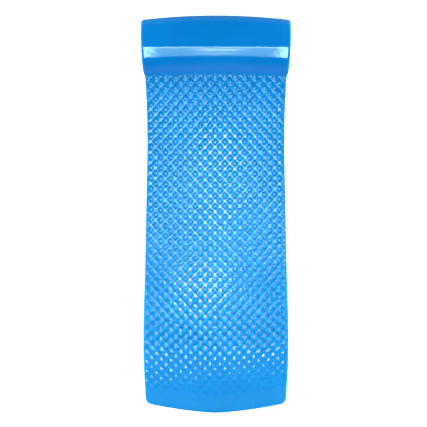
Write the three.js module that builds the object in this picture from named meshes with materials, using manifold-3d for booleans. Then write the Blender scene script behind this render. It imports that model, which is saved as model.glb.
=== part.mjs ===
// A pool float with a built-in roll pillow: one foam sheet, folded over a foam core at its head
// end, glued, and covered all over with a thin vinyl skin. It lies flat with its underside at z = 0.
// Millimetres. +Y points to the pillow, +Z up, and the origin is under the middle of the float.
import * as THREE from 'three';
import { mergeVertices } from 'three/addons/utils/BufferGeometryUtils.js';
import Module from 'manifold-3d';

const wasm = await Module();
wasm.setup();

// Driving dimensions of the whole float.
const LENGTH = 1778;
const THICKNESS = 32; // over the domes of the embossed top
const RELIEF = 6; // from the bottom of a valley to the top of a dome
const SIDE_ROUND = 8; // rounding of the sheet's edges
const HEAD = LENGTH / 2;
const FOOT = -LENGTH / 2;

// Layers, as depths below the outer surface.
const COAT = 0.8; // the vinyl film
const GAP = 0.3; // clearance between touching pieces
const FOAM = COAT + GAP; // depth of the foam's surface
const GLUE = 0.5; // the contact adhesive

const PLAIN_TOP = 29.5; // the unembossed top, a little under the domes
const VALLEY_TOP = THICKNESS - RELIEF;

// Half of the width at distances from the head end: it narrows to a waist and widens to the foot.
const HALF_WIDTHS = [
  [-40, 330],
  [80, 329.3],
  [160, 327],
  [220, 323.8],
  [262, 318],
  [340, 313.5],
  [430, 309.5],
  [545, 307.7],
  [860, 312.6],
  [1150, 318.5],
  [1430, 325.8],
  [1520, 326],
  [1620, 323.2],
  [1715, 318],
];
const HEAD_BOW = 19.5; // how far the middle of the head end stands out past its corners
const FOOT_BOW = 39;
const STRAIGHTENING = 0.85; // share of the bow that the middle of the pillow's front doesn't have
const STRAIGHTENING_SHIFT = 1.6; // moves that middle from half way over the pillow to its front
const FOOT_CORNER = 24;
const CORNER_PULL = 5; // keeps the foot's corners full

// The pillow's section, as distances from the head end and heights.
const PILLOW_HEIGHT = 105;
const NOSE_HEIGHT = 50; // where the head end stands out furthest
const LOWER_NOSE = 60; // where the underside starts to rise
const CREST = 120;
const FLAP_TIP = 258; // where the flap's slope runs out on the sheet's top
const FRONT_POWER = 2.5; // how the slope steepens from the crest to the flap's tip
const FRONT_STEPS = 6;
const PILLOW_SIDE_ROUND = 14;
const PILLOW_OVERHANG = 3; // the flap's ends stand past the sheet's sides
const POCKET = PLAIN_TOP - FOAM; // depth of the fold's inside: the foam sheet's own thickness
const FEATHER = 4; // height of the core's blunt front edge
const SQUARE = 0.01; // rounding of an edge that is as good as square
const GLUE_MARGIN = 4; // from the flap's glue to the core's glue and to the flap's tip

// The embossed field: staggered domes, drawn as pyramids. Their rows close up a little towards
// the foot, and the field stops where the skin floods the valleys.
const HALF_COLUMN = 22.15;
const HALF_COLUMNS = 30;
const COLUMN_SHIFT = -3.4; // a column of domes runs this far beside the middle
const FIELD_START = 266; // distance of the field's edge from the head end
const HALF_ROW = 24.9;
const ROW_SHRINK = 0.0224;
const HALF_ROWS = 52;
const FIELD_EDGE = 34; // the outermost domes' distance from the sheet's sides

// Panels of the skin.
const RIM = SIDE_ROUND + 5; // width of the panels that wrap the sheet's sides and the pillow's ends
const NOSE_SEAM = LOWER_NOSE - 15; // the underside's panel ends just where the nose starts to rise
const FOOT_SEAM = 60; // the side panels stop this far before the foot end
const OUTSIDE = 2 * LENGTH; // larger than the whole float

const VINYL = { color: '#1b8fe6', roughness: 0.25 };
const SHEET_FOAM = { color: '#7fb4d8', roughness: 0.9 };
const CORE_FOAM = { color: '#dfe6ea', roughness: 0.9 };
const ADHESIVE = { color: '#d8c58a', roughness: 0.6 };

// The right side of the sheet, from the head to the foot.
const rightSide = new THREE.SplineCurve(
  HALF_WIDTHS.map(([distance, half]) => new THREE.Vector2(half, HEAD - distance)),
).getPoints(2 * HALF_WIDTHS.length);

// Half of the sheet's width at a place along Y.
function halfWidth(y) {
  const next = rightSide.findIndex((point) => point.y <= y);
  if (next === 0) return rightSide[0].x;
  if (next < 0) return rightSide.at(-1).x;
  const [above, below] = [rightSide[next - 1], rightSide[next]];
  return THREE.MathUtils.mapLinear(y, above.y, below.y, above.x, below.x);
}

// Rows across the float turn from the head end's bow to the foot end's, and the pillow's front
// is straighter.
function bow(x, y) {
  const bowed = THREE.MathUtils.mapLinear(y, HEAD, FOOT, HEAD_BOW, -FOOT_BOW);
  const overPillow = THREE.MathUtils.clamp((HEAD - y) / FLAP_TIP, 0, 1);
  const straightened =
    STRAIGHTENING * Math.sin(Math.PI * overPillow ** STRAIGHTENING_SHIFT) ** 2;
  return bowed * (1 - straightened) * (x / halfWidth(HEAD)) ** 2;
}

// Solids: three.js geometry goes in, manifold-3d cuts and joins it, and a mesh comes out.
function solid(geometry) {
  const bare = geometry.clone();
  bare.deleteAttribute('normal');
  bare.deleteAttribute('uv');
  const merged = mergeVertices(bare, 1e-3);
  return new wasm.Manifold(
    new wasm.Mesh({
      numProp: 3,
      vertProperties: new Float32Array(merged.attributes.position.array),
      triVerts: new Uint32Array(merged.index.array),
    }),
  );
}

function box(low, high) {
  const size = new THREE.Vector3().subVectors(high, low);
  const centre = new THREE.Vector3().addVectors(low, high).multiplyScalar(0.5);
  const geometry = new THREE.BoxGeometry(size.x, size.y, size.z);
  return solid(geometry.translate(centre.x, centre.y, centre.z));
}

// The slice of space between two places along Y.
function slice(low, high) {
  return box(new THREE.Vector3(-OUTSIDE, low, -OUTSIDE), new THREE.Vector3(OUTSIDE, high, OUTSIDE));
}

// The half of space on the right or the left of the middle.
function halfSpace(side) {
  return box(
    new THREE.Vector3(side > 0 ? 0 : -OUTSIDE, -OUTSIDE, -OUTSIDE),
    new THREE.Vector3(side > 0 ? OUTSIDE : 0, OUTSIDE, OUTSIDE),
  );
}

// The space between two bows across the float, and between two heights.
function bowedBlock(low, high, bottom, top) {
  const reach = halfWidth(HEAD) + THICKNESS;
  const [lowBow, highBow] = [bow(reach, low), bow(reach, high)];
  const shape = new THREE.Shape();
  shape.moveTo(-reach, low - lowBow);
  shape.quadraticCurveTo(0, low + lowBow, reach, low - lowBow);
  shape.lineTo(reach, high - highBow);
  shape.quadraticCurveTo(0, high + highBow, -reach, high - highBow);
  const geometry = new THREE.ExtrudeGeometry(shape, {
    depth: top - bottom,
    bevelEnabled: false,
    curveSegments: 8,
  });
  return solid(geometry.translate(0, 0, bottom));
}

// The sheet's outline seen from above, drawn in by a depth all round.
function sheetOutline(depth) {
  const foot = FOOT + depth;
  const footSide = rightSide.at(-1).x - depth;
  const cornerEnd = footSide - FOOT_CORNER;
  const outline = new THREE.Shape();
  outline.moveTo(0, foot);
  outline.quadraticCurveTo(cornerEnd / 3, foot, cornerEnd, foot + FOOT_BOW);
  outline.quadraticCurveTo(footSide, foot + FOOT_BOW + CORNER_PULL, footSide, rightSide.at(-1).y);
  for (const side of rightSide.toReversed().slice(1)) outline.lineTo(side.x - depth, side.y);
  for (const side of rightSide) outline.lineTo(depth - side.x, side.y);
  outline.quadraticCurveTo(-footSide, foot + FOOT_BOW + CORNER_PULL, -cornerEnd, foot + FOOT_BOW);
  outline.quadraticCurveTo(-cornerEnd / 3, foot, 0, foot);
  return outline;
}

// An upright wall-sided block of the sheet's outline.
function outlineBlock(depth, low, high) {
  const geometry = new THREE.ExtrudeGeometry(sheetOutline(depth), {
    depth: high - low,
    bevelEnabled: false,
    curveSegments: 5,
  });
  return solid(geometry.translate(0, 0, low));
}

// The sheet as a plain block with rounded edges.
function roundedSheet(depth) {
  const round = SIDE_ROUND - depth;
  const geometry = new THREE.ExtrudeGeometry(sheetOutline(depth), {
    depth: THICKNESS - 2 * depth - 2 * round,
    bevelThickness: round,
    bevelSize: round,
    bevelOffset: -round,
    bevelSegments: 2,
    curveSegments: 5,
  });
  return solid(geometry.translate(0, 0, depth + round));
}

// Place along Y of a line of the embossed field: its first and last lines lie off the float.
function rowPlace(line) {
  if (line === 0) return HEAD + THICKNESS;
  if (line > HALF_ROWS) return FOOT - FOOT_BOW - THICKNESS;
  return HEAD - FIELD_START - HALF_ROW * (line - 1) + ROW_SHRINK * (line - 1) ** 2;
}

// A slab whose top carries the pyramids. Lines of domes and valleys alternate like a chequerboard.
function embossedSlab(depth) {
  const lines = HALF_ROWS + 1;
  const slab = new THREE.BoxGeometry(HALF_COLUMNS, lines, 2, HALF_COLUMNS, lines, 1);
  const place = slab.attributes.position;
  for (let i = 0; i < place.count; i += 1) {
    const column = Math.round(place.getX(i) + HALF_COLUMNS / 2);
    const line = Math.round(lines / 2 - place.getY(i));
    const x = COLUMN_SHIFT + HALF_COLUMN * (column - HALF_COLUMNS / 2);
    const y = rowPlace(line);
    const inField = line > 1 && line < HALF_ROWS && Math.abs(x) < halfWidth(y) - FIELD_EDGE;
    const dome = (column + line) % 2 === 0;
    const fieldTop = dome ? THICKNESS : VALLEY_TOP;
    const top = (inField ? fieldTop : PLAIN_TOP) - depth;
    place.setXYZ(i, x, y - bow(x, y), place.getZ(i) > 0 ? top : -THICKNESS);
  }
  foldAcrossValleys(slab);
  return solid(slab);
}

// Turns the diagonal of every second square, so that each pyramid has four even faces.
function foldAcrossValleys(slab) {
  const order = slab.index.array;
  for (const group of slab.groups.slice(4)) {
    for (let square = 0; square * 6 < group.count; square += 1) {
      const column = square % HALF_COLUMNS;
      const line = Math.floor(square / HALF_COLUMNS);
      const start = group.start + square * 6;
      const [topLeft, bottomLeft, topRight] = order.slice(start, start + 3);
      const bottomRight = order[start + 4];
      if ((column + line) % 2 === 1) continue;
      order.set([topLeft, bottomLeft, bottomRight, topLeft, bottomRight, topRight], start);
    }
  }
}

// The sheet at a depth below its outer surface, without the pillow.
function sheet(depth) {
  return roundedSheet(depth).intersect(embossedSlab(depth));
}

// How far the flap's slope runs from the crest, at a depth, before it falls to a height.
function slopeRun(depth, height) {
  const fall = (PILLOW_HEIGHT - depth - height) / (PILLOW_HEIGHT - PLAIN_TOP);
  return (FLAP_TIP - CREST) * fall ** (1 / FRONT_POWER);
}

// The pillow's section in Y and Z, drawn in by a depth, down to a height at its front.
function pillowSection(depth, frontHeight) {
  const crestHeight = PILLOW_HEIGHT - depth;
  const run = slopeRun(depth, frontHeight);
  const section = new THREE.Shape();
  section.absellipse(
    HEAD - LOWER_NOSE, NOSE_HEIGHT, LOWER_NOSE - depth, NOSE_HEIGHT - depth, -Math.PI / 2, 0,
  );
  section.absellipse(
    HEAD - CREST, NOSE_HEIGHT, CREST - depth, crestHeight - NOSE_HEIGHT, 0, Math.PI / 2,
  );
  for (let step = 1; step <= FRONT_STEPS; step += 1) {
    const share = step / FRONT_STEPS;
    const height = THREE.MathUtils.lerp(crestHeight, frontHeight, share ** FRONT_POWER);
    section.lineTo(HEAD - CREST - run * share, height);
  }
  section.lineTo(HEAD - CREST - run, depth);
  section.closePath();
  return section;
}

// The section run across the float, with rounded ends, bowed and narrowed as the sheet is.
function acrossFloat(section, overhang, round) {
  const halfSpan = halfWidth(HEAD) + overhang - round;
  const geometry = new THREE.ExtrudeGeometry(section, {
    depth: 2 * halfSpan,
    steps: 6,
    curveSegments: 5,
    bevelThickness: round,
    bevelSize: round,
    bevelOffset: -round,
    bevelSegments: 2,
  });
  geometry.translate(0, 0, -halfSpan);
  const toFloat = new THREE.Matrix4().makeBasis(
    new THREE.Vector3(0, 1, 0), new THREE.Vector3(0, 0, 1), new THREE.Vector3(1, 0, 0),
  );
  geometry.applyMatrix4(toFloat);
  const place = geometry.attributes.position;
  for (let i = 0; i < place.count; i += 1) {
    const across = place.getX(i) / halfWidth(HEAD);
    const y = place.getY(i);
    place.setX(i, across * halfWidth(y));
    place.setY(i, y - bow(place.getX(i), y));
  }
  return solid(geometry);
}

// The pillow as one filled block, at a depth below its outer surface.
function pillow(depth) {
  const section = pillowSection(depth, PLAIN_TOP - FOAM - RELIEF);
  return acrossFloat(section, PILLOW_OVERHANG - depth, PILLOW_SIDE_ROUND - depth);
}

// A bar of the pillow's inner section that runs out past both ends.
function pocket(depth) {
  return acrossFloat(pillowSection(depth, depth + FEATHER), SIDE_ROUND, SQUARE);
}

// The whole float at a depth below its outer surface.
function float(depth) {
  const beforePillow = slice(FOOT - THICKNESS, HEAD - FLAP_TIP + GLUE_MARGIN - depth);
  return sheet(depth).intersect(beforePillow).add(pillow(depth));
}

const outer = float(0);
const underCoat = float(COAT);
const foamBlock = float(FOAM);
const skin = outer.subtract(underCoat);

const pocketFront = HEAD - CREST - slopeRun(POCKET, POCKET + FEATHER);

// The sheet and its flap are one J: the core's pocket and a slot under the flap's end part them.
function foamSheet() {
  const [low, high] = [POCKET - GAP / 2, POCKET + GLUE + 2 * GAP];
  const slot = bowedBlock(HEAD - FLAP_TIP - GLUE_MARGIN, pocketFront + FEATHER, low, high);
  return foamBlock.subtract(pocket(POCKET)).subtract(slot);
}

function pillowCore() {
  return pocket(POCKET + GLUE + 2 * GAP).intersect(foamBlock);
}

function coreAdhesive() {
  const film = pocket(POCKET + GAP).subtract(pocket(POCKET + GAP + GLUE));
  return film.intersect(foamBlock);
}

function flapAdhesive() {
  const low = POCKET + GAP;
  const start = HEAD - FLAP_TIP + 2 * GLUE_MARGIN;
  const film = bowedBlock(start, pocketFront - GLUE_MARGIN, low, low + GLUE);
  return film.intersect(outlineBlock(PILLOW_SIDE_ROUND, 0, THICKNESS));
}

// Panels of the skin. A panel stops half a gap short of each seam.
const sheetSide = bowedBlock(FOOT - THICKNESS, HEAD - FLAP_TIP - GAP / 2, -THICKNESS, OUTSIDE);
const pillowSide = bowedBlock(HEAD - FLAP_TIP + GAP / 2, HEAD + THICKNESS, -THICKNESS, OUTSIDE);

const insideRim = outlineBlock(RIM + GAP / 2, -THICKNESS, PILLOW_HEIGHT + THICKNESS);
const outsideRim = outlineBlock(RIM - GAP / 2, -THICKNESS, PILLOW_HEIGHT + THICKNESS);

function topCoat() {
  const aboveMiddle = slice(FOOT, HEAD).translate(0, 0, OUTSIDE + THICKNESS / 2);
  return skin.intersect(insideRim).intersect(aboveMiddle).intersect(sheetSide);
}

// The space of the underside's panel, below the middle of the sheet's edge.
const underside = box(
  new THREE.Vector3(-OUTSIDE, FOOT, -THICKNESS),
  new THREE.Vector3(OUTSIDE, HEAD - NOSE_SEAM - GAP / 2, THICKNESS / 2),
);

function undersideCoat() {
  return skin.intersect(insideRim).intersect(underside);
}

function edgeCoat() {
  return skin.subtract(outsideRim).intersect(sheetSide);
}

function sideEdgeCoat(side) {
  return edgeCoat().intersect(slice(FOOT + FOOT_SEAM + GAP / 2, HEAD)).intersect(halfSpace(side));
}

function footEdgeCoat() {
  return edgeCoat().intersect(slice(FOOT - THICKNESS, FOOT + FOOT_SEAM - GAP / 2));
}

function pillowCoat() {
  const seamed = underside.translate(0, GAP, 0);
  return skin.intersect(insideRim).intersect(pillowSide).subtract(seamed);
}

function pillowEndCoat(side) {
  return skin.subtract(outsideRim).intersect(pillowSide).intersect(halfSpace(side));
}

const group = new THREE.Group();

function addPiece(name, piece, look) {
  const { vertProperties, triVerts } = piece.getMesh();
  const geometry = new THREE.BufferGeometry();
  geometry.setAttribute('position', new THREE.BufferAttribute(new Float32Array(vertProperties), 3));
  geometry.setIndex(new THREE.BufferAttribute(new Uint32Array(triVerts), 1));
  const mesh = new THREE.Mesh(
    geometry,
    new THREE.MeshStandardMaterial({ ...look, metalness: 0, flatShading: true }),
  );
  mesh.name = name;
  group.add(mesh);
}

addPiece('foam_sheet', foamSheet(), SHEET_FOAM);
addPiece('pillow_core', pillowCore(), CORE_FOAM);
addPiece('core_adhesive', coreAdhesive(), ADHESIVE);
addPiece('flap_adhesive', flapAdhesive(), ADHESIVE);
addPiece('top_coat', topCoat(), VINYL);
addPiece('underside_coat', undersideCoat(), VINYL);
addPiece('side_edge_coat_left', sideEdgeCoat(-1), VINYL);
addPiece('side_edge_coat_right', sideEdgeCoat(1), VINYL);
addPiece('foot_edge_coat', footEdgeCoat(), VINYL);
addPiece('pillow_coat', pillowCoat(), VINYL);
addPiece('pillow_end_coat_left', pillowEndCoat(-1), VINYL);
addPiece('pillow_end_coat_right', pillowEndCoat(1), VINYL);

export default group;
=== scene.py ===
import math
from collections import namedtuple

import bmesh
import bpy
import numpy as np
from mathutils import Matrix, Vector


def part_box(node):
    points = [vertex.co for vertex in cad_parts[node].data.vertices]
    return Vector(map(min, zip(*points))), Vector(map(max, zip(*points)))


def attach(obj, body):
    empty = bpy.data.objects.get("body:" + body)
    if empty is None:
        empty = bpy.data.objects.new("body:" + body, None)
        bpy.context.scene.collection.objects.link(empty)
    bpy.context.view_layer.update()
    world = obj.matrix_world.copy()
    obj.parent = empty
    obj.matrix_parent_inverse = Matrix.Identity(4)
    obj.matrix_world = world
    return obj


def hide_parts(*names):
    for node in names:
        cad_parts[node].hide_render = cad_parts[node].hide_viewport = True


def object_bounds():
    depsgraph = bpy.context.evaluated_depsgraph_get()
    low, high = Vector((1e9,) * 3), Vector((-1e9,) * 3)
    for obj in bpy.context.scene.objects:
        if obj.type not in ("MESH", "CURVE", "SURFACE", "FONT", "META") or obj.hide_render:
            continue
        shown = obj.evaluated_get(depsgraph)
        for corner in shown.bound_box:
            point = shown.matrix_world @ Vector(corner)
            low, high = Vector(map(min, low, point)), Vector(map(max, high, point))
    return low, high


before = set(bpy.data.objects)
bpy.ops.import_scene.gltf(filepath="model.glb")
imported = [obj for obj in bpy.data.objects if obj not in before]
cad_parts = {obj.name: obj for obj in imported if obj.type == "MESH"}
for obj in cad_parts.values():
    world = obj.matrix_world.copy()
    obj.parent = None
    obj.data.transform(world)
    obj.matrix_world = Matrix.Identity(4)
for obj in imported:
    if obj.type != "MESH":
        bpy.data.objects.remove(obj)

CAD_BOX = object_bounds()

# A pool float with a built-in roll pillow, in metres. It lies along Y with its pillow at +Y.
# A place "along" the float is its distance from the head end towards the foot.
LENGTH = CAD_BOX[1][1] - CAD_BOX[0][1]
HEAD = CAD_BOX[1][1]
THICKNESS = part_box("top_coat")[1][2]
FILM = 0.0008
FOAM_DEPTH = FILM + 0.0014  # at a few points in the valleys the coarser foam still comes through

# Half of the sheet's width at places along the float.
HALF_WIDTHS = (
    (-0.040, 0.3300),
    (0.080, 0.3293),
    (0.160, 0.3270),
    (0.220, 0.3238),
    (0.262, 0.3180),
    (0.340, 0.3135),
    (0.430, 0.3095),
    (0.545, 0.3077),
    (0.860, 0.3126),
    (1.150, 0.3185),
    (1.430, 0.3258),
    (1.520, 0.3260),
    (1.620, 0.3232),
    (1.715, 0.3180),
    (1.820, 0.3130),
)
WIDEST = 0.330
HEAD_BOW = 0.0195  # how far the middle of the head end stands out past its corners
FOOT_BOW = 0.046
BEND = 2  # the bow's power across the float
FOOT_BEND = 1.5
FOOT_BEND_START = 0.6  # share of the length after which the power falls
STRAIGHTENING = 0.85  # share of the bow that the middle of the pillow's front doesn't have
STRAIGHTENING_SHIFT = 1.6  # moves that middle from half way over the pillow to its front
HEAD_CORNER = 0.012
FOOT_CORNER = 0.026

# The pillow's section, as places along the float and heights.
PILLOW_HEIGHT = CAD_BOX[1][2]
NOSE_HEIGHT = 0.050
LOWER_NOSE = 0.060
NOSE_SEAM = 0.045
CREST = 0.120
FLAP_TIP = 0.258  # where the flap's slope runs out on the sheet's top
FRONT_POWER = 2.5  # how the slope steepens from the crest to the flap's tip
TIP_FILLET = 0.003
PILLOW_OVERHANG = 0.003
OVERHANG_FADE = 0.014
PILLOW_ROUND = 0.012

# Inside the fold: depths of the pocket and the core below the outer surface, the height of their
# blunt front edge, and the heights of the slot that holds the flap's adhesive.
POCKET_DEPTH = 0.0284
CORE_DEPTH = POCKET_DEPTH + 0.0011
FEATHER = 0.004
SLOT_BOTTOM = 0.02825
SLOT_TOP = 0.0295

# The line on the pillow's ends where the fold wraps the core.
GROOVE_DEPTH = 0.0012
GROOVE_WIDTH = 0.003

# The embossed top: staggered domes with a net of valleys between them.
RELIEF = 0.006
VALLEY_TOP = THICKNESS - RELIEF
PLAIN_TOP = THICKNESS - 0.0025
HALF_COLUMN = 0.02215
COLUMN_SHIFT = -0.0034
FIRST_ROW = 0.266
HALF_ROW = 0.0249
ROW_SHRINK = 0.0000224
DOME_BACK = 0.74  # share of a dome's half width that is back, and not fillet
FIELD_START = 0.246  # the domes rise from here, under the flap's tip
FIELD_RISE = 0.022
FLOOD_START = 1.465  # from here on the vinyl fills the valleys
FLOOD_END = 1.545
FLOODED_RELIEF = (0.40, 0.34)  # share of the relief left at the left side and at the right
FIELD_END = 1.735
FIELD_FADE = 0.05

# Edges of the sheet.
SIDE_ROUND = 0.008
FULLEST_CORNER = 0.49  # share of the section's height that a round corner can take
FOOT_ROUND = 0.012
FOOT_SQUARENESS = 2.4
RIM = 0.015  # width of the top that belongs to the sides' panels
FOOT_SEAM = LENGTH - 0.060
TOP_SEAM = LENGTH - RIM

# Mesh sizes. Every count of cells is even, because a film's inside uses every second point.
DETAIL = 2
TOP_COLUMNS = 84 * DETAIL
BOTTOM_COLUMNS = 12 * DETAIL
BODY_ROWS = 202 * DETAIL
NOSE_ROWS = 10 * DETAIL
SLOPE_ROWS = 30 * DETAIL
FOOT_ROWS = 6 * DETAIL
EDGE_ROWS = 10 * DETAIL
RIM_STEPS = 3
CORNER_STEPS = 5
SHEET_WALL = 4
PILLOW_WALL = 28
OUTLINE_STEPS = 9
BAR_COLUMNS = 16
SLOPE_STEP = 0.0001  # for the slopes that normals come from
SHARP_ANGLE = math.radians(40)
WELD = 1e-7  # points nearer than this are one point

# Looks. Each pair is the darkest and the lightest shade, or the least and the most.
# The float has one vinyl coat. The pillow's pair is that vinyl painted a little darker and bluer,
# as painted shade on the pillow. The sheet's pair is the same vinyl painted lighter, where more
# light falls.
PILLOW_SHADED_BLUES = ((0.005, 0.24, 0.73), (0.005, 0.255, 0.77))
SHEET_LIT_BLUES = ((0.005, 0.255, 0.71), (0.005, 0.275, 0.76))
FOAM_BLUES = ((0.16, 0.36, 0.58), (0.24, 0.47, 0.70))
CORE_GREYS = ((0.62, 0.66, 0.68), (0.80, 0.84, 0.86))
GLUE_AMBERS = ((0.50, 0.36, 0.12), (0.72, 0.60, 0.32))
VINYL_ROUGHNESS = (0.06, 0.09)
VINYL_IOR = 2.05
FOAM_ROUGHNESS = 0.85
GLUE_ROUGHNESS = (0.35, 0.6)
FOAM_CELL = 0.0009
CORE_CELL = 0.0013
NOISE_RANGE = (0.35, 0.65)  # where nearly all of a noise's values lie

# Camera and light.
CAMERA = (-0.0106, 0.0062, 4.5)
LENS = 84.14
COOL = (0.55, 1, 1)
WHITE = (0.88, 1, 1)
# Lamps: middle, size, power, spread in degrees, colour, and the place on the floor they aim at.
LAMPS = (
    # The softbox overhead, and its brighter edges.
    ((0, 0.17, 1.25), (0.92, 0.90), 2.2, 120, COOL, (0, 0.17)),
    ((0, 0.60, 1.24), (0.92, 0.05), 0.8, 180, COOL, (0, 0.60)),
    ((-0.42, 0.17, 1.23), (0.12, 0.90), 2.4, 180, COOL, (-0.42, 0.17)),
    ((0.42, 0.17, 1.23), (0.12, 0.90), 2.4, 180, COOL, (0.42, 0.17)),
    # Three small lamps that make the embossing sparkle.
    ((0.02, 0.36, 1.22), (0.24, 0.24), 0.36, 72, WHITE, (0.02, 0.06)),
    ((0, 0.00, 1.21), (0.22, 0.22), 0.18, 66, WHITE, (0, 0.04)),
    ((-0.06, -0.40, 1.20), (0.22, 0.22), 0.40, 62, WHITE, (-0.06, -0.46)),
    # A dim card high over the foot.
    ((0, -1.20, 3.0), (2.2, 1.6), 1.5, 120, COOL, (0, -1.20)),
    # Panels at the sides, too low for the domes to mirror.
    ((-1.7, -0.1, 0.32), (2.8, 0.4), 14.2, 180, COOL, (0, -0.1)),
    ((1.7, -0.1, 0.32), (2.8, 0.4), 14.2, 180, COOL, (0, -0.1)),
    ((-1.5, -1.0, 0.32), (1.2, 0.4), 10, 72, COOL, (0, -0.75)),
    ((1.5, -1.0, 0.32), (1.2, 0.4), 10, 72, COOL, (0, -0.75)),
    ((-1.1, 1.15, 0.42), (0.9, 0.5), 4.1, 90, COOL, (0, 0.97)),
    ((1.1, 1.15, 0.42), (0.9, 0.5), 4.1, 90, COOL, (0, 0.97)),
    # A panel under the floor, for the underside.
    ((0, 0, -1.6), (1.6, 2.4), 22, 180, COOL, (0, 0)),
)
MIRRORED_FROM = 1  # lamps lower than this don't show in the gloss
ROOM_TOP = 0.5
ROOM_LIGHT = 0.2
FLOOR_SIZE = 30
FLOOR_SHADE = 0.95
FLOOR_GLOW = 0.8
FLOOR_LEVEL = -0.0005


def smooth_curve(points, at):
    """A smooth curve through points, with the slope at each taken from its neighbours."""
    places, value = np.array(points).T
    slope = np.gradient(value, places)
    i = np.clip(np.searchsorted(places, at) - 1, 0, len(places) - 2)
    span = places[i + 1] - places[i]
    t = (at - places[i]) / span
    ease = t * t * (3 - 2 * t)
    leave = slope[i] * span * t * (1 - t) ** 2
    arrive = slope[i + 1] * span * t * t * (t - 1)
    return value[i] + (value[i + 1] - value[i]) * ease + leave + arrive


def ease_between(value, low, high):
    """0 below low, 1 above high, and a smooth rise between."""
    t = np.clip((value - low) / (high - low), 0, 1)
    return t * t * (3 - 2 * t)


def higher(one, other, fillet):
    """The higher of two surfaces, with a fillet where they meet."""
    near = np.clip(fillet - np.abs(one - other), 0, None)
    return np.maximum(one, other) + near**2 / (4 * fillet)


def corner_inset(distance, radius):
    """How far a round corner stands back at a distance from the end."""
    gone = np.clip(1 - distance / radius, 0, 1)
    return radius * (1 - np.sqrt(1 - gone**2))


def half_width(along):
    """Half of the float's width. Both ends have round corners."""
    overhang = 1 - ease_between(along, FLAP_TIP - OVERHANG_FADE, FLAP_TIP)
    head = corner_inset(along, HEAD_CORNER)
    foot = corner_inset(LENGTH - along, FOOT_CORNER)
    return smooth_curve(HALF_WIDTHS, along) + PILLOW_OVERHANG * overhang - head - foot


def place(x, along):
    """Y of a point. Rows across the float turn from the head's bow to the foot's, and the
    pillow's front is nearly straight."""
    share = along / LENGTH
    over_pillow = np.clip(along / FLAP_TIP, 0, 1)
    straightened = STRAIGHTENING * np.sin(np.pi * over_pillow**STRAIGHTENING_SHIFT) ** 2
    bow = (HEAD_BOW - (HEAD_BOW + FOOT_BOW) * share) * (1 - straightened)
    bend = BEND - (BEND - FOOT_BEND) * ease_between(share, FOOT_BEND_START, 1)
    return HEAD - along - bow * (np.abs(x) / WIDEST) ** bend


def arch(offset):
    """1 at a dome's middle and 0 at its border: a round back that a narrow fillet ends."""
    out = np.abs(offset)
    foot = np.clip((out - DOME_BACK) / (1 - DOME_BACK), 0, None)
    return 1 - (out**2 - (1 - DOME_BACK) * foot**2) / DOME_BACK


def dome_height(x, along):
    """0 in the valleys and 1 on top of a dome. Domes fill the squares of a slanting grid."""
    reach = np.sqrt(HALF_ROW**2 - 4 * ROW_SHRINK * (along - FIRST_ROW))
    row = (HALF_ROW - reach) / (2 * ROW_SHRINK)
    column = (x - COLUMN_SHIFT) / HALF_COLUMN
    one = (column + row) / 2
    other = (column - row) / 2
    return arch(2 * (one - np.round(one))) * arch(2 * (other - np.round(other)))


def relief_share(x, along):
    """How much of the domes stands out of the vinyl, which floods them towards the foot."""
    rise = ease_between(along, FIELD_START, FIELD_START + FIELD_RISE)
    left, right = FLOODED_RELIEF
    sunk = 1 - left + (left - right) * ease_between(x, -WIDEST, WIDEST)
    flood = 1 - sunk * ease_between(along, FLOOD_START, FLOOD_END)
    end = 1 - ease_between(along, FIELD_END - FIELD_FADE, FIELD_END)
    return rise * flood * end


def slope_fall(run):
    """How far the pillow's front slope has fallen at a distance from the crest."""
    return (PILLOW_HEIGHT - PLAIN_TOP) * (run / (FLAP_TIP - CREST)) ** FRONT_POWER


def slope_run(fall):
    """The distance from the crest at which the front slope has fallen this far."""
    share = fall / (PILLOW_HEIGHT - PLAIN_TOP)
    return (FLAP_TIP - CREST) * share ** (1 / FRONT_POWER)


def pillow_top(along):
    nose = np.sqrt(np.clip(1 - (1 - along / CREST) ** 2, 0, 1))
    behind = NOSE_HEIGHT + (PILLOW_HEIGHT - NOSE_HEIGHT) * nose
    front = PILLOW_HEIGHT - slope_fall(np.clip(along - CREST, 0, None))
    return np.where(along < CREST, behind, front)


def foot_closure(along):
    """1 on the sheet, falling to 0 round its foot end."""
    gone = np.clip(1 - (LENGTH - along) / FOOT_ROUND, 0, 1)
    return (1 - gone**FOOT_SQUARENESS) ** (1 / FOOT_SQUARENESS)


def close_foot(height, along):
    """A height drawn in to the sheet's middle round its foot end."""
    middle = PLAIN_TOP / 2
    return middle + (height - middle) * foot_closure(along)


def plain_height(x, along):
    """Height of the top's valleys."""
    valley = PLAIN_TOP + (VALLEY_TOP - PLAIN_TOP) * relief_share(x, along)
    return close_foot(higher(pillow_top(along), valley, TIP_FILLET), along)


def top_height(x, along):
    """Height of the top with its domes."""
    return plain_height(x, along) + RELIEF * relief_share(x, along) * dome_height(x, along)


def bottom_height(x, along):
    nose = NOSE_HEIGHT * (1 - np.sqrt(np.clip(1 - (1 - along / LOWER_NOSE) ** 2, 0, 1)))
    return np.where(along < LOWER_NOSE, nose, close_foot(0, along))


# Patches of the skin: grids of points with their normals. Rows run along the float and columns
# round its section, from the left over the top to the right and back underneath. A normal that
# isn't known is left out, and comes from the faces round the point.
Patch = namedtuple("Patch", "points normals")


def surface_points(height, x, along):
    return np.stack([x, place(x, along), height(x, along)], -1)


def surface_normals(height, x, along):
    """Normals on the side that faces up, left out where the ends turn under."""
    right = surface_points(height, x + SLOPE_STEP, along)
    left = surface_points(height, x - SLOPE_STEP, along)
    nearer = surface_points(height, x, along + SLOPE_STEP)
    further = surface_points(height, x, along - SLOPE_STEP)
    normals = np.cross(nearer - further, right - left)
    normals /= np.linalg.norm(normals, axis=-1, keepdims=True)
    turning = (along < CREST / 4) | (along > LENGTH - FOOT_ROUND)
    normals[turning] = np.nan
    return normals


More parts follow.
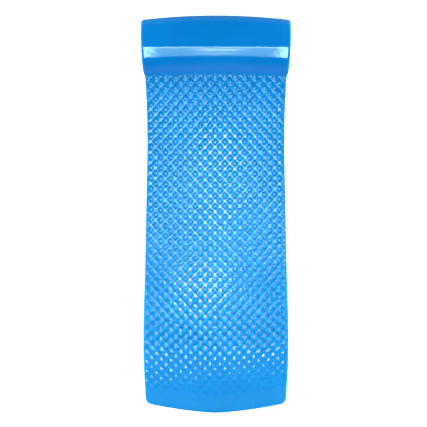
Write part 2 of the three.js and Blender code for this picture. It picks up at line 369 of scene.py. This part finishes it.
def across_patch(height, stations, columns, side):
    """The top, or with side -1 the underside, between the rims."""
    spread = np.linspace(-side, side, columns + 1)
    along = np.broadcast_to(stations[:, None], (len(stations), len(spread)))
    x = spread * (half_width(along) - RIM)
    normals = side * surface_normals(height, x, along)
    return Patch(surface_points(height, x, along), normals)


def top_patch(stations, columns=TOP_COLUMNS):
    return across_patch(top_height, stations, columns, 1)


def bottom_patch(stations, columns=BOTTOM_COLUMNS):
    return across_patch(bottom_height, stations, columns, -1)


def section_corner(stations, low, high):
    """Radius of the section's round corners."""
    pillow = 1 - ease_between(stations, FLAP_TIP - 2 * OVERHANG_FADE, FLAP_TIP)
    corner = SIDE_ROUND + (PILLOW_ROUND - SIDE_ROUND) * pillow
    return np.minimum(corner, FULLEST_CORNER * (high - low))


def rim_patch(stations, wall, side):
    """One side's rim: from the top round the corner, down the wall and in underneath."""
    half = half_width(stations)
    low = bottom_height(0, stations)
    high = plain_height(side * half, stations)
    corner = section_corner(stations, low, high)
    columns = []
    for step in range(RIM_STEPS + 1):
        x = half - RIM + (RIM - corner) * step / RIM_STEPS
        columns.append((x, top_height(side * x, stations), top_height))
    for step in range(1, CORNER_STEPS + 1):
        turn = math.pi / 2 * step / CORNER_STEPS
        x = half - corner * (1 - math.sin(turn))
        dome = (top_height(side * x, stations) - high) * math.cos(turn) ** 2
        columns.append((x, high - corner * (1 - math.cos(turn)) + dome, None))
    for step in range(1, wall + 1):
        fall = (high - low - 2 * corner) * step / wall
        z = high - corner - fall
        columns.append((half - end_groove(stations, z), z, None))
    for step in range(1, CORNER_STEPS + 1):
        turn = math.pi / 2 * step / CORNER_STEPS
        x = half - corner * (1 - math.cos(turn))
        columns.append((x, low + corner * (1 - math.sin(turn)), None))
    for step in range(1, RIM_STEPS + 1):
        x = half - corner - (RIM - corner) * step / RIM_STEPS
        columns.append((x, low, bottom_height))
    points = []
    normals = []
    for x, z, height in columns[::side]:
        points.append(np.stack([side * x, place(x, stations), z], -1))
        if height is None:
            normals.append(np.full((len(stations), 3), np.nan))
        else:
            up = 1 if height is top_height else -1
            normals.append(up * surface_normals(height, side * x, stations))
    return Patch(np.stack(points, 1), np.stack(normals, 1))


def pocket_outline(depth, front):
    """Outline of the space inside the fold at a depth, as places along the float and heights.
    Its floor and its slot to the flap's tip are left to the caller."""
    turns = np.linspace(0, np.pi / 2, OUTLINE_STEPS)
    lower = (LOWER_NOSE - depth, NOSE_HEIGHT - depth)
    upper = (CREST - depth, PILLOW_HEIGHT - NOSE_HEIGHT - depth)
    under = [(LOWER_NOSE - lower[0] * math.sin(t), NOSE_HEIGHT - lower[1] * math.cos(t))
             for t in turns]
    over = [(CREST - upper[0] * math.cos(t), NOSE_HEIGHT + upper[1] * math.sin(t))
            for t in turns[1:]]
    run = slope_run(PILLOW_HEIGHT - depth - front)
    slope = [(CREST + s, PILLOW_HEIGHT - depth - slope_fall(s))
             for s in np.linspace(0, run, 2 * OUTLINE_STEPS)[1:]]
    return under + over + slope


def end_groove(along, z):
    """Depth of the line that shows on the pillow's ends where the fold wraps the core."""
    outline = np.array(pocket_outline(POCKET_DEPTH, POCKET_DEPTH) + [(LOWER_NOSE, POCKET_DEPTH)])
    point = np.stack([along, np.broadcast_to(z, along.shape)], -1)
    nearest = np.full(len(along), np.inf)
    for start, end in zip(outline, np.roll(outline, -1, 0)):
        line = end - start
        share = np.clip((point - start) @ line / max(line @ line, WELD**2), 0, 1)
        away = np.linalg.norm(point - start - share[:, None] * line, axis=-1)
        nearest = np.minimum(nearest, away)
    return GROOVE_DEPTH * np.exp(-((nearest / GROOVE_WIDTH) ** 2))


# Meshes ------------------------------------------------------------------------------------------

def weld(patches):
    """Numbers the patches' points, the same where they coincide: points, normals, numbers."""
    points = np.concatenate([patch.points.reshape(-1, 3) for patch in patches])
    keys = np.round(points / WELD).astype(np.int64)
    _, first, number = np.unique(keys, axis=0, return_index=True, return_inverse=True)
    points = points[first]
    numbers = []
    start = 0
    for patch in patches:
        rows, columns = patch.points.shape[:2]
        numbers.append(number.ravel()[start:start + rows * columns].reshape(rows, columns))
        start += rows * columns
    normals = np.zeros_like(points)
    for grid in numbers:
        quads = cells(grid)
        a, b, c, d = (points[quads[:, k]] for k in range(4))
        facing = np.cross(c - a, d - b)
        for k in range(4):
            np.add.at(normals, quads[:, k], facing)
    normals /= np.linalg.norm(normals, axis=1, keepdims=True)
    for patch, grid in zip(patches, numbers):
        known = np.isfinite(patch.normals[..., 0])
        normals[grid[known]] = patch.normals[known]
    return points, normals, numbers


def cells(grid):
    """The grid's squares, turning outwards."""
    corners = (grid[:-1, :-1], grid[1:, :-1], grid[1:, 1:], grid[:-1, 1:])
    return np.stack([corner.ravel() for corner in corners], 1)


def without_repeats(face):
    return [a for a, b in zip(face, face[-1:] + face[:-1]) if a != b]


def rim_faces(grids, offset):
    """Faces that join the outside's border to the inside's, two outside edges to each inside
    one. Inside points have the outside's numbers plus the offset."""
    sides = {}
    for grid in grids:
        a, ab, b = grid[:-2:2, ::2], grid[1:-1:2, ::2], grid[2::2, ::2]
        c, cd, d = grid[::2, :-2:2], grid[::2, 1:-1:2], grid[::2, 2::2]
        runs = (
            (a[:, :-1], ab[:, :-1], b[:, :-1]),
            (b[:, 1:], ab[:, 1:], a[:, 1:]),
            (c[1:], cd[1:], d[1:]),
            (d[:-1], cd[:-1], c[:-1]),
        )
        for run in runs:
            for start, middle, end in zip(*(part.ravel().tolist() for part in run)):
                if start != end:
                    key = (min(start, end), max(start, end))
                    sides.setdefault(key, []).append((start, middle, end))
    return [
        without_repeats([end, middle, start, start + offset, end + offset])
        for found in sides.values() if len(found) == 1
        for start, middle, end in found
    ]


def new_piece(name, points, faces, normals=None):
    """A mesh object of these faces, without the points that none of them uses."""
    used = np.unique(np.concatenate([np.array(face) for face in faces]))
    number = np.zeros(used.max() + 1, int)
    number[used] = np.arange(len(used))
    mesh = bpy.data.meshes.new(name)
    faces = [number[face].tolist() for face in faces]
    mesh.from_pydata(points[used].tolist(), [], faces)
    mesh.polygons.foreach_set("use_smooth", [True] * len(mesh.polygons))
    mesh.update()
    if normals is not None:
        mesh.normals_split_custom_set_from_vertices(normals[used].tolist())
    piece = bpy.data.objects.new(name, mesh)
    bpy.context.scene.collection.objects.link(piece)
    return piece


def film_piece(name, skin, grids):
    """A closed piece of the skin: the grids, and the same surface a film's depth inside."""
    points, normals = skin
    offset = len(points)
    faces = np.concatenate([cells(grid) for grid in grids]).tolist()
    inside = np.concatenate([cells(grid[::2, ::2]) for grid in grids]) + offset
    faces += inside[:, ::-1].tolist()
    faces = [without_repeats(face) for face in faces]
    faces = [face for face in faces if len(face) > 2] + rim_faces(grids, offset)
    both = np.concatenate([points, points - FILM * normals])
    return new_piece(name, both, faces, np.concatenate([normals, -normals]))


def stations(start, end, count):
    return np.linspace(start, end, count + 1)


def join(*parts):
    return np.concatenate([parts[0], *(part[1:] for part in parts[1:])])


NOSE = NOSE_SEAM * np.linspace(0, 1, NOSE_ROWS + 1) ** 2
PILLOW = join(NOSE, stations(NOSE_SEAM, FLAP_TIP, SLOPE_ROWS))
SHEET = stations(FLAP_TIP, FOOT_SEAM, BODY_ROWS)
FOOT = stations(FOOT_SEAM, TOP_SEAM, FOOT_ROWS)
EDGE_START = stations(TOP_SEAM, LENGTH - FOOT_ROUND, 2)
EDGE_TURNS = np.linspace(0, np.pi / 2, EDGE_ROWS + 1)
EDGE = join(EDGE_START, LENGTH - FOOT_ROUND * (1 - np.sin(EDGE_TURNS)))


def make_skin():
    """The vinyl skin, in the panels that it is cut into."""
    upper_rows = join(SHEET, FOOT)
    lower_rows = join(PILLOW[NOSE_ROWS:], SHEET, FOOT)
    panels = {
        "pillow_skin": ([top_patch(PILLOW), bottom_patch(NOSE, TOP_COLUMNS)], ["pillow_coat"]),
        "top_skin": ([top_patch(upper_rows)], ["top_coat"]),
        "underside_skin": ([bottom_patch(lower_rows)], ["underside_coat"]),
        "foot_edge_skin": (
            [
                top_patch(EDGE),
                bottom_patch(EDGE, TOP_COLUMNS),
                rim_patch(join(FOOT, EDGE), SHEET_WALL, 1),
                rim_patch(join(FOOT, EDGE), SHEET_WALL, -1),
            ],
            ["foot_edge_coat"],
        ),
    }
    for side, word in ((1, "right"), (-1, "left")):
        panels[f"side_edge_skin_{word}"] = (
            [rim_patch(SHEET, SHEET_WALL, side)],
            [f"side_edge_coat_{word}"],
        )
        panels[f"pillow_end_skin_{word}"] = (
            [rim_patch(PILLOW, PILLOW_WALL, side)],
            [f"pillow_end_coat_{word}"],
        )
    patches = [patch for parts, _ in panels.values() for patch in parts]
    points, normals, numbers = weld(patches)
    pieces = []
    for name, (parts, nodes) in panels.items():
        grids = [numbers.pop(0) for _ in parts]
        piece = film_piece(name, (points, normals), grids)
        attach(piece, "root")
        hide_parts(*nodes)
        pieces.append(piece)
    return pieces


def foam_body():
    """The whole float inside its skin, as one block."""
    rows = join(PILLOW, SHEET, FOOT, EDGE)[::2]
    columns = TOP_COLUMNS // 2
    patches = [top_patch(rows, columns), bottom_patch(rows, columns)]
    for side in (1, -1):
        rim = rim_patch(rows, PILLOW_WALL, side)
        patches.append(Patch(rim.points[:, ::2], rim.normals[:, ::2]))
    points, normals, numbers = weld(patches)
    faces = np.concatenate([cells(grid) for grid in numbers]).tolist()
    faces = [without_repeats(face) for face in faces]
    faces = [face for face in faces if len(face) > 2]
    return new_piece("foam_body", points - FOAM_DEPTH * normals, faces)


def bar_across(name, outline):
    """A bar of an outline, run across the float past both sides."""
    count = len(outline)
    along, z = np.array(outline).T
    spread = np.linspace(-1, 1, BAR_COLUMNS + 1)[:, None]
    x = spread * (half_width(along) + RIM)
    points = np.stack([x, place(x, along), np.broadcast_to(z, x.shape)], -1).reshape(-1, 3)
    faces = [list(range(count)), list(range(BAR_COLUMNS * count, (BAR_COLUMNS + 1) * count))[::-1]]
    for column in range(BAR_COLUMNS):
        for k in range(count):
            here, there = column * count + k, column * count + (k + 1) % count
            faces.append([there, here, here + count, there + count])
    bar = new_piece(name, points, faces)
    tidy = bmesh.new()
    tidy.from_mesh(bar.data)
    bmesh.ops.recalc_face_normals(tidy, faces=tidy.faces)
    tidy.to_mesh(bar.data)
    tidy.free()
    return bar


def without_slivers(mesh):
    """Points and triangles of a mesh, without the pairs of triangles that lie on each other."""
    mesh.calc_loop_triangles()
    points = np.array([vertex.co for vertex in mesh.vertices])
    triangles = np.array([triangle.vertices for triangle in mesh.loop_triangles])
    corners = np.sort(triangles, axis=1)
    _, number, count = np.unique(corners, axis=0, return_inverse=True, return_counts=True)
    return points, triangles[count[number.ravel()] == 1]


def cut(name, block, tool, operation):
    """A new piece: the block with the tool's space taken away, or only what lies in it."""
    modifier = block.modifiers.new("cut", "BOOLEAN")
    modifier.operation = operation
    modifier.object = tool
    modifier.solver = "EXACT"
    made = block.evaluated_get(bpy.context.evaluated_depsgraph_get())
    mesh = bpy.data.meshes.new_from_object(made)
    block.modifiers.clear()
    piece = new_piece(name, *without_slivers(mesh))
    bpy.data.meshes.remove(mesh)
    piece.data.set_sharp_from_angle(angle=SHARP_ANGLE)
    return piece


def make_foam():
    """The folded sheet and the core inside its fold."""
    body = foam_body()
    pocket = pocket_outline(POCKET_DEPTH, POCKET_DEPTH + FEATHER)
    front = pocket[-1][0]
    slot_end = FLAP_TIP + FEATHER
    pocket += [(front, SLOT_TOP), (slot_end, SLOT_TOP)]
    pocket += [(slot_end, SLOT_BOTTOM), (front, SLOT_BOTTOM)]
    core = pocket_outline(CORE_DEPTH, CORE_DEPTH + FEATHER)
    core.append((core[-1][0], CORE_DEPTH))
    pocket_bar = bar_across("pocket_bar", pocket)
    core_bar = bar_across("core_bar", core)
    foam = cut("foam_body_folded", body, pocket_bar, "DIFFERENCE")
    core = cut("pillow_core_roll", body, core_bar, "INTERSECT")
    for helper in (body, pocket_bar, core_bar):
        bpy.data.meshes.remove(helper.data)
    for piece, node, slot in (
        (foam, "foam_sheet", "sheet_foam"),
        (core, "pillow_core", "core_foam"),
    ):
        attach(piece, "root")
        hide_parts(node)
    return foam, core


# Materials ---------------------------------------------------------------------------------------

def new_material(name):
    material = bpy.data.materials.new(name)
    material.use_nodes = True
    nodes = material.node_tree.nodes
    return material, nodes, material.node_tree.links, nodes["Principled BSDF"]


def add_noise(nodes, links, scale, detail, roughness=0.5):
    """A noise fixed to the object, with this many blobs to a metre."""
    coordinates = nodes.new("ShaderNodeTexCoord")
    noise = nodes.new("ShaderNodeTexNoise")
    noise.inputs["Scale"].default_value = scale
    noise.inputs["Detail"].default_value = detail
    noise.inputs["Roughness"].default_value = roughness
    links.new(coordinates.outputs["Object"], noise.inputs["Vector"])
    return noise.outputs["Fac"]


def add_ramp(nodes, links, value, low, high, start, end):
    """Start below low, end above high, and a blend between."""
    ramp = nodes.new("ShaderNodeValToRGB")
    ramp.color_ramp.elements[0].position = low
    ramp.color_ramp.elements[1].position = high
    ramp.color_ramp.elements[0].color = (*start, 1)
    ramp.color_ramp.elements[1].color = (*end, 1)
    links.new(value, ramp.inputs["Fac"])
    return ramp.outputs["Color"]


def add_range(nodes, links, noise, start, end):
    """A noise stretched to run from start to end."""
    span = nodes.new("ShaderNodeMapRange")
    span.inputs["From Min"].default_value, span.inputs["From Max"].default_value = NOISE_RANGE
    span.inputs["To Min"].default_value = start
    span.inputs["To Max"].default_value = end
    links.new(noise, span.inputs["Value"])
    return span.outputs["Result"]


def add_bump(nodes, links, height, distance, before=None):
    """Fine relief this deep, on top of the relief before it."""
    bump = nodes.new("ShaderNodeBump")
    bump.inputs["Distance"].default_value = distance
    links.new(height, bump.inputs["Height"])
    if before is not None:
        links.new(before, bump.inputs["Normal"])
    return bump.outputs["Normal"]


def vinyl(name, dark, light):
    """Brushed-on vinyl: glossy, a little uneven in colour, with orange peel."""
    material, nodes, links, shader = new_material(name)
    shade = add_noise(nodes, links, 7, 4)
    links.new(add_ramp(nodes, links, shade, *NOISE_RANGE, dark, light),
              shader.inputs["Base Color"])
    gloss = add_noise(nodes, links, 60, 3)
    links.new(add_range(nodes, links, gloss, *VINYL_ROUGHNESS), shader.inputs["Roughness"])
    waves = add_bump(nodes, links, add_noise(nodes, links, 45, 1), 0.0004)
    peel = add_bump(nodes, links, add_noise(nodes, links, 420, 2), 0.00006, waves)
    links.new(peel, shader.inputs["Normal"])
    shader.inputs["IOR"].default_value = VINYL_IOR
    return material


def foam(name, dark, light, cell):
    """Closed-cell foam: matt, with fine round cells."""
    material, nodes, links, shader = new_material(name)
    coordinates = nodes.new("ShaderNodeTexCoord")
    bubbles = nodes.new("ShaderNodeTexVoronoi")
    bubbles.inputs["Scale"].default_value = 1 / cell
    links.new(coordinates.outputs["Object"], bubbles.inputs["Vector"])
    links.new(add_ramp(nodes, links, bubbles.outputs["Distance"], 0.1, 0.7, light, dark),
              shader.inputs["Base Color"])
    pits = add_bump(nodes, links, bubbles.outputs["Distance"], cell / 4)
    links.new(pits, shader.inputs["Normal"])
    shader.inputs["Roughness"].default_value = FOAM_ROUGHNESS
    return material


def glue():
    """Dried contact adhesive: amber, blotchy and half glossy."""
    material, nodes, links, shader = new_material("dried_adhesive")
    blotch = add_noise(nodes, links, 90, 5, 0.65)
    links.new(add_ramp(nodes, links, blotch, *NOISE_RANGE, *GLUE_AMBERS),
              shader.inputs["Base Color"])
    links.new(add_range(nodes, links, blotch, *GLUE_ROUGHNESS), shader.inputs["Roughness"])
    strings = add_bump(nodes, links, add_noise(nodes, links, 260, 3), 0.0003)
    links.new(strings, shader.inputs["Normal"])
    return material


def paint(piece, material):
    piece.data.materials.clear()
    piece.data.materials.append(material)


# The stage ---------------------------------------------------------------------------------------

def make_floor():
    """A pale floor that is clear from below, so that it doesn't hide the float's underside."""
    mesh = bpy.data.meshes.new("floor")
    far = FLOOR_SIZE / 2
    corners = ((-far, -far), (far, -far), (far, far), (-far, far))
    mesh.from_pydata([(x, y, FLOOR_LEVEL) for x, y in corners], [], [(0, 1, 2, 3)])
    floor = bpy.data.objects.new("floor", mesh)
    bpy.context.scene.collection.objects.link(floor)
    material, nodes, links, shader = new_material("pale_floor")
    shader.inputs["Base Color"].default_value = (FLOOR_SHADE, FLOOR_SHADE, FLOOR_SHADE, 1)
    shader.inputs["Roughness"].default_value = 0.9
    shader.inputs["Specular IOR Level"].default_value = 0.1
    shader.inputs["Emission Color"].default_value = (1, 1, 1, 1)
    shader.inputs["Emission Strength"].default_value = FLOOR_GLOW
    back = nodes.new("ShaderNodeNewGeometry").outputs["Backfacing"]
    front = nodes.new("ShaderNodeMath")
    front.operation = "SUBTRACT"
    front.inputs[0].default_value = 1
    links.new(back, front.inputs[1])
    links.new(front.outputs["Value"], shader.inputs["Alpha"])
    paint(floor, material)
    floor.visible_glossy = False
    floor.visible_diffuse = False
    floor.visible_shadow = False


def add_lamp(name, middle, size, power, spread, colour, aim):
    """A rectangular lamp, turned to a place on the floor."""
    light = bpy.data.lights.new(name, "AREA")
    light.shape = "RECTANGLE"
    light.size, light.size_y = size
    light.energy = power
    light.color = colour
    light.spread = math.radians(spread)
    lamp = bpy.data.objects.new(name, light)
    lamp.location = middle
    way = Vector((*aim, 0)) - Vector(middle)
    lamp.rotation_euler = way.to_track_quat("-Z", "Y").to_euler()
    lamp.visible_camera = False
    lamp.visible_glossy = middle[2] > MIRRORED_FROM
    bpy.context.scene.collection.objects.link(lamp)


def make_world():
    """A soft room: pale all round and dark overhead, so that only the lamps show in the gloss.
    The backdrop is white."""
    world = bpy.data.worlds.new("room")
    world.use_nodes = True
    nodes, links = world.node_tree.nodes, world.node_tree.links
    coordinates = nodes.new("ShaderNodeTexCoord")
    split = nodes.new("ShaderNodeSeparateXYZ")
    links.new(coordinates.outputs["Generated"], split.inputs["Vector"])
    shade = add_ramp(nodes, links, split.outputs["Z"], 0, ROOM_TOP, (1, 1, 1), (0, 0, 0))
    room = nodes["Background"]
    links.new(shade, room.inputs["Color"])
    room.inputs["Strength"].default_value = ROOM_LIGHT
    backdrop = nodes.new("ShaderNodeBackground")
    backdrop.inputs["Color"].default_value = (1, 1, 1, 1)
    mix = nodes.new("ShaderNodeMixShader")
    links.new(nodes.new("ShaderNodeLightPath").outputs["Is Camera Ray"], mix.inputs["Fac"])
    links.new(room.outputs["Background"], mix.inputs[1])
    links.new(backdrop.outputs["Background"], mix.inputs[2])
    links.new(mix.outputs["Shader"], nodes["World Output"].inputs["Surface"])
    bpy.context.scene.world = world


def make_camera():
    """A camera straight over the float, looking down."""
    camera = bpy.data.objects.new("camera", bpy.data.cameras.new("camera"))
    camera.data.sensor_width = 36
    camera.data.lens = LENS
    camera.location = CAMERA
    bpy.context.scene.collection.objects.link(camera)
    bpy.context.scene.camera = camera


# The scene ---------------------------------------------------------------------------------------

skin_pieces = make_skin()
# The pillow's skin gets a darker copy of the sheet's vinyl, as painted shade. The sheet gets a
# lighter copy, as painted light.
shaded_pillow_vinyl = vinyl("shaded_pillow_vinyl", *PILLOW_SHADED_BLUES)
lit_sheet_vinyl = vinyl("lit_sheet_vinyl", *SHEET_LIT_BLUES)
for piece in skin_pieces:
    paint(piece, shaded_pillow_vinyl if "pillow" in piece.name else lit_sheet_vinyl)
sheet_piece, core_piece = make_foam()
paint(sheet_piece, foam("blue_foam", *FOAM_BLUES, FOAM_CELL))
paint(core_piece, foam("pale_foam", *CORE_GREYS, CORE_CELL))
glue_paint = glue()
for node in ("core_adhesive", "flap_adhesive"):
    paint(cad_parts[node], glue_paint)
make_floor()
for number, lamp in enumerate(LAMPS):
    add_lamp(f"lamp_{number}", *lamp)
make_world()
make_camera()
bpy.context.scene.view_settings.view_transform = "Standard"
